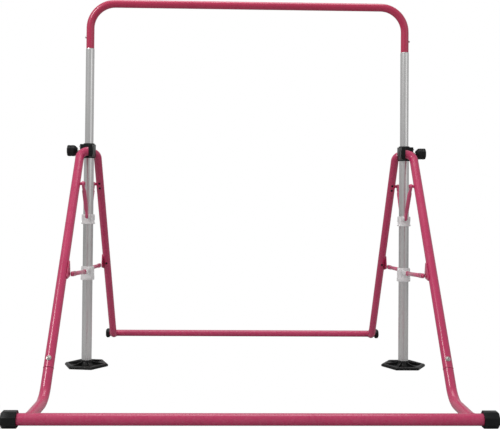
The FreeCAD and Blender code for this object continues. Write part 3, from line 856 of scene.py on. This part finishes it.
@dataclass
class Linkage:
    """Struts, collars, plates and their pins, taken from the CAD shapes and finished."""

    painted: tuple[str, ...] = (
        "front_upper_strut", "rear_upper_strut", "front_lower_strut", "rear_lower_strut",
        "front_leg_plate", "rear_leg_plate",
    )
    coated: tuple[str, ...] = (
        "front_leg_studs", "rear_leg_studs", "front_lower_rivets", "rear_lower_rivets",
    )
    plated: tuple[str, ...] = ("upper_collar_pins", "lower_collar_pins", "rear_upper_rivets")
    rib_count: int = 10
    lug_reach: float = 0.85

    def collar(self, kind: str, layout: Layout) -> None:
        """Builds a pair of collars with upright ribs between their lugs."""
        for side, sign in SIDES:
            node = f"{kind}_collar_{side}"
            low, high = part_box(node)
            middle = Vector((sign * layout.post.x, (low.y + high.y) / 2, 0))
            parts = [refined(node, 0.5, 2)]
            for index in range(self.rib_count):
                angle = 2 * math.pi * (index + 0.5) / self.rib_count
                if abs(math.sin(angle)) > self.lug_reach:
                    continue
                near = Vector((0.0212, -0.0011, low.z + 0.014))
                far = Vector((0.0231, 0.0011, high.z - 0.003))
                rib = round_edges(block("rib", near, far), 0.5 * MM)
                rib.data.transform(Matrix.Translation(middle) @ Matrix.Rotation(angle, 4, "Z"))
                parts.append(rib)
            made = joined(node + "_sleeve", parts)
            fit(made, body_of(node), Slot.NYLON, NYLON, node)

    def build(self, layout: Layout) -> None:
        """Finishes every strut, plate, pin and collar."""
        for kind in self.painted:
            for side, _ in SIDES:
                node = f"{kind}_{side}"
                # The struts take the lighter copy of the paint, a painted highlight.
                finish = LIT_STRUT_PAINT if "strut" in kind else PAINT
                fit(refined(node, 0.45), body_of(node), Slot.FRAME, finish, node)
        for node in self.coated:
            fit(refined(node, 0.7, 3), body_of(node), Slot.FRAME, PAINT, node)
        for node in self.plated:
            fit(refined(node, 0.7, 3), body_of(node), Slot.FASTENER, ZINC, node)
        self.collar("upper", layout)
        self.collar("lower", layout)


@dataclass
class Welds:
    """Rippled weld beads where tubes and plates meet, sizes in millimetres."""

    bead: float = 1.7
    ripples: int = 34
    saddle_swell: float = 0.22
    run_swell: float = 0.16
    run_pitch: float = 0.7
    run_phase: float = 2.1
    plate_half: float = 30.0
    plate_off: float = 6.2
    plate_sunk: float = 1.5

    def saddle(
        self, name: str, tube: float, wall: float, centre: Vector, toward: float
    ) -> bpy.types.Object:
        """Bead around a tube that butts against a floor tube.

        Args:
            name: Name of the new object.
            tube: Radius of the joining tube.
            wall: Radius of the floor tube.
            centre: Point on the floor tube's axis, in line with the joining tube.
            toward: Direction along Y from the floor tube to the joining tube.

        Returns:
            The bead in place.
        """
        deselect()
        bpy.ops.mesh.primitive_torus_add(
            major_segments=144, minor_segments=10, major_radius=tube * MM,
            minor_radius=self.bead * MM, rotation=(math.radians(90), 0, 0),
        )
        obj = settle(bpy.context.active_object)
        obj.name = name
        for vertex in obj.data.vertices:
            angle = math.atan2(vertex.co.z, vertex.co.x)
            rim = Vector((math.cos(angle), 0, math.sin(angle))) * tube * MM
            swell = 1 + self.saddle_swell * math.sin(angle * self.ripples)
            local = (vertex.co - rim) * swell
            height = min(abs(rim.z), wall * MM * 0.985)
            reach = math.sqrt((wall * MM) ** 2 - height**2)
            vertex.co = centre + rim + local + Vector((0, toward * reach, 0))
        return smooth(obj, 60.0)

    def run(self, name: str, start: Vector, end: Vector) -> bpy.types.Object:
        """Straight rippled bead between two points."""
        length = (end - start).length / MM
        steps = int(length / self.run_pitch)
        rings = [(0.0, self.bead * 0.4)]
        for index in range(1, steps):
            swell = 1 + self.run_swell * math.sin(index * self.run_phase)
            rings.append((length * index / steps, self.bead * swell))
        rings.append((length, self.bead * 0.4))
        bead = smooth(turned(name, rings, 12), 60.0)
        return place(bead, start, (end - start).normalized())

    def build(self, layout: Layout) -> None:
        """Builds the beads of both frames."""
        for word, body in (("front", Body.FRONT), ("rear", Body.REAR)):
            front = body is Body.FRONT
            side = 1 if front else -1
            low, high = layout.front_tube if front else layout.rear_tube
            out = layout.front_out if front else layout.rear_out
            radius = layout.front_radius if front else layout.rear_radius
            pin = layout.front_plate if front else layout.rear_plate
            axis = Vector((layout.post.x + out, (low.y + high.y) / 2, (low.z + high.z) / 2))
            wall = (high.z - low.z) / 2 / MM
            saddle = self.saddle(word + "_floor_weld_right", radius / MM, wall, axis, side)
            aside = Vector((side * (self.plate_sunk * MM - radius), 0, 0))
            start, end = (
                layout.leg(front, pin + way * self.plate_half * MM, self.plate_off * MM) + aside
                for way in (-1, 1)
            )
            edge = self.run(word + "_plate_weld_right", start, end)
            fit_pair(saddle, body, Slot.FRAME, WELD_PAINT)
            fit_pair(edge, body, Slot.FRAME, WELD_PAINT)


@dataclass
class Joints:
    """Leg joints: rolled lip, seal ring, bolt and the screws of the rear legs.

    Places down a leg are in metres, the rest of the sizes in millimetres.
    """

    leg_length: float = 0.80356
    bolt_from_end: float = 0.026
    ring_from_end: float = 0.0012
    screw_spread: float = 0.010
    ring_stretch: float = 1.7

    def ring(
        self, name: str, radius: float, thick: float, along: float, layout: Layout
    ) -> bpy.types.Object:
        """Ring around the front leg.

        Args:
            name: Name of the new object.
            radius: Radius of the ring.
            thick: Radius of its section.
            along: Place down the leg.
            layout: Reference places.

        Returns:
            The ring in place.
        """
        deselect()
        bpy.ops.mesh.primitive_torus_add(
            major_segments=96, minor_segments=12, major_radius=radius * MM, minor_radius=thick * MM
        )
        obj = settle(bpy.context.active_object)
        obj.name = name
        edit(obj)
        bpy.ops.transform.resize(value=(1, 1, self.ring_stretch))
        leave_edit()
        return place(smooth(obj, 60.0), layout.leg(True, along), layout.down(True))

    def bolt(self) -> bpy.types.Object:
        """Round-headed socket bolt on its washer, standing on the XY plane."""
        rings = [
            (-4.0, 3.0), (-0.3, 3.0), (-0.3, 7.2), (-0.1, 7.5), (1.0, 7.5), (1.2, 7.2), (1.2, 5.6),
            (1.9, 5.4), (2.9, 4.7), (3.7, 3.6), (4.1, 2.4), (4.1, 2.0), (2.2, 1.9),
        ]
        bolt = turned("joint_bolt", rings, 48)
        hex_recess(bolt, 2.1, 1.08)
        return round_edges(bolt, 0.12 * MM, 1, 35.0)

    def screw(self) -> bpy.types.Object:
        """Pan-head screw with a cross recess, standing on the XY plane."""
        rings = [(-2.5, 2.0), (0.0, 2.0), (0.0, 4.1), (0.8, 4.2), (1.5, 3.7), (1.95, 2.6), (2.05, 1.2)]
        obj = turned("pan_screw", rings, 40)
        for wide, deep in ((2.3, 0.45), (0.45, 2.3)):
            low, high = Vector((-wide, -deep, 1.0)) * MM, Vector((wide, deep, 3.0)) * MM
            cut(obj, block("slot", low, high))
        return smooth(obj, 30.0)

    def build(self, layout: Layout) -> None:
        """Builds the rings, the bolts and the screws on both sides."""
        end, gap, radius = self.leg_length, self.ring_from_end, layout.front_radius / MM
        lip = self.ring("leg_lip_right", radius - 0.1, 0.9, end - gap, layout)
        seal = self.ring("joint_seal_right", radius - 0.9, 0.95, end + gap, layout)
        along = self.leg_length - self.bolt_from_end
        seat = layout.leg(True, along, -layout.front_radius)
        outwards = (seat - layout.leg(True, along)).normalized()
        bolt = place(self.bolt(), seat, outwards, 12)
        bolt.name = "joint_bolt_right"
        fit_pair(lip, Body.FRONT, Slot.FRAME, PAINT)
        fit_pair(seal, Body.FRONT, Slot.PLASTIC, PLASTIC)
        twin = mirrored(bolt, "joint_bolt_left")
        fit(bolt, Body.FRONT, Slot.FASTENER, ZINC, "joint_bolts")
        fit(twin, Body.FRONT, Slot.FASTENER, ZINC)
        screws = []
        stud = layout.front_stud * math.cos(layout.front_angle) / math.cos(layout.rear_angle)
        places = (stud - self.screw_spread, stud + self.screw_spread, layout.rear_plate)
        for index, where in enumerate(places):
            seat = layout.leg(False, where, layout.rear_radius)
            outwards = (seat - layout.leg(False, where)).normalized()
            screws.append(place(self.screw(), seat, outwards, 30 * index))
        group = joined("bracket_screws_right", screws)
        twin = mirrored(group, "bracket_screws_left")
        # The rear legs' screws take the near-black painted shade.
        fit(group, Body.REAR, Slot.FASTENER, SHADE_DARK_SCREW, "bracket_screws")
        fit(twin, Body.REAR, Slot.FASTENER, SHADE_DARK_SCREW)


@dataclass
class CadSurfaces:
    """Finishes for the CAD nodes that stay."""

    finishes: dict[str, Finish] = field(
        default_factory=lambda: {
            # The U-bar takes the darker copy of the paint, a painted shade.
            "post": STEEL, "upper_tube": STEEL, "u_bar": SHADED_BAR_PAINT, "front_leg": PAINT,
            "rear_leg": PAINT, "front_foot_tube": PAINT, "front_floor_tube": PAINT,
            "rear_floor_tube": PAINT, "tube_bush": NYLON, "lock_bush": ZINC, "lock_pin": ZINC,
            "snap_button": ZINC,
        }
    )

    def build(self) -> None:
        """Dresses each shown CAD node by the longest matching name."""
        for name, node in frame["nodes"].items():
            if node.hide_render:
                continue
            known = [key for key in self.finishes if name.startswith(key)]
            finish = self.finishes[max(known, key=len)]
            for slot in node.material_slots:
                slot.material = finish.material()
            LOG.info("%s dressed in %s", name, finish.name)


# ---------------------------------------------------------------- studio


@dataclass(frozen=True)
class Lamp:
    """Soft square lamp: place and size in metres, power in watts."""

    name: str
    where: tuple[float, float, float]
    size: float
    power: float


LAMPS = (
    Lamp("key", (-2.6, -2.2, 3.2), 1.2, 56),
    Lamp("fill", (2.8, -2.4, 1.6), 2.0, 8),
    Lamp("top", (0.0, 0.3, 3.6), 2.4, 46),
)


@dataclass
class Studio:
    """Floor that only gives back light, soft lamps, a white room and the camera."""

    distance: float = 2.86006
    eye: float = 0.62714
    across: float = -0.06798
    focal: float = 801.2063
    pitch: float = 0.0188
    roll: float = 0.0084
    yaw: float = 0.0272
    rise: float = -40.0
    image_width: float = 500.0
    room_glow: float = 0.50
    aim_height: float = 0.6
    floor_size: float = 60.0
    floor_drop: float = 0.0005

    def floor(self) -> None:
        """Wide grey floor that the camera looks through."""
        deselect()
        bpy.ops.mesh.primitive_plane_add(size=self.floor_size, location=(0, 0, -self.floor_drop))
        plane = settle(bpy.context.active_object)
        plane.name = "floor"
        plane.visible_camera = False
        graph = Graph("grey_floor")
        tint = graph.mixed(graph.noise(3.0, 4.0), (0.46, 0.46, 0.46), (0.44, 0.44, 0.44))
        graph.link(tint, graph.shader.inputs["Base Color"])
        graph.set(Roughness=0.9, Specular_IOR_Level=0.1)
        plane.data.materials.append(graph.made)

    def hang(self, lamp: Lamp) -> None:
        """Hangs a lamp aimed at the middle of the stand."""
        light = bpy.data.lights.new(lamp.name, "AREA")
        light.size = lamp.size
        light.energy = lamp.power
        obj = bpy.data.objects.new(lamp.name, light)
        obj.location = lamp.where
        aim = Vector((0, 0, self.aim_height)) - Vector(lamp.where)
        obj.rotation_euler = aim.to_track_quat("-Z", "Y").to_euler()
        bpy.context.scene.collection.objects.link(obj)

    def room(self) -> None:
        """White room that shines less on the stand than it shows to the camera."""
        world = bpy.data.worlds.new("white_room")
        world.use_nodes = True
        tree = world.node_tree
        back = tree.nodes["Background"]
        back.inputs["Color"].default_value = (1, 1, 1, 1)
        seen = tree.nodes.new("ShaderNodeLightPath")
        glow = tree.nodes.new("ShaderNodeMapRange")
        glow.inputs["To Min"].default_value = self.room_glow
        tree.links.new(seen.outputs["Is Camera Ray"], glow.inputs["Value"])
        tree.links.new(glow.outputs["Result"], back.inputs["Strength"])
        bpy.context.scene.world = world
        bpy.context.scene.view_settings.view_transform = "Standard"

    def camera(self, layout: Layout) -> None:
        """Camera that sees the stand from in front, a little left of its middle."""
        data = bpy.data.cameras.new("camera")
        data.sensor_width = 36.0
        data.lens = self.focal / self.image_width * data.sensor_width
        data.shift_y = self.rise / self.image_width
        data.clip_end = 200
        obj = bpy.data.objects.new("camera", data)
        yaw = Matrix.Rotation(-self.yaw, 4, "Z")
        pitch = Matrix.Rotation(math.pi / 2 + self.pitch, 4, "X")
        turn = yaw @ pitch @ Matrix.Rotation(self.roll, 4, "Z")
        where = Vector((self.across, layout.post.y - self.distance, self.eye))
        obj.matrix_world = Matrix.Translation(where) @ turn
        bpy.context.scene.collection.objects.link(obj)
        bpy.context.scene.camera = obj

    def build(self, layout: Layout) -> None:
        """Sets up the whole studio."""
        self.floor()
        for lamp in LAMPS:
            self.hang(lamp)
        self.room()
        self.camera(layout)


def main() -> None:
    """Builds the stand's looks in order."""
    logging.basicConfig(level=logging.INFO, format="%(message)s")
    layout = Layout()
    Studio().build(layout)
    EndCaps("front_cap", Body.FRONT, flats=44.0, length=42.0, bore=16.05).build()
    EndCaps("rear_cap", Body.REAR, flats=36.0, length=15.0, bore=13.05, corner=1.0).build()
    FootPlates().build(layout)
    HeadBlocks().build(layout)
    LockKnobs().build(layout)
    Linkage().build(layout)
    Welds().build(layout)
    Joints().build(layout)
    CadSurfaces().build()


if __name__ == "__main__":
    main()
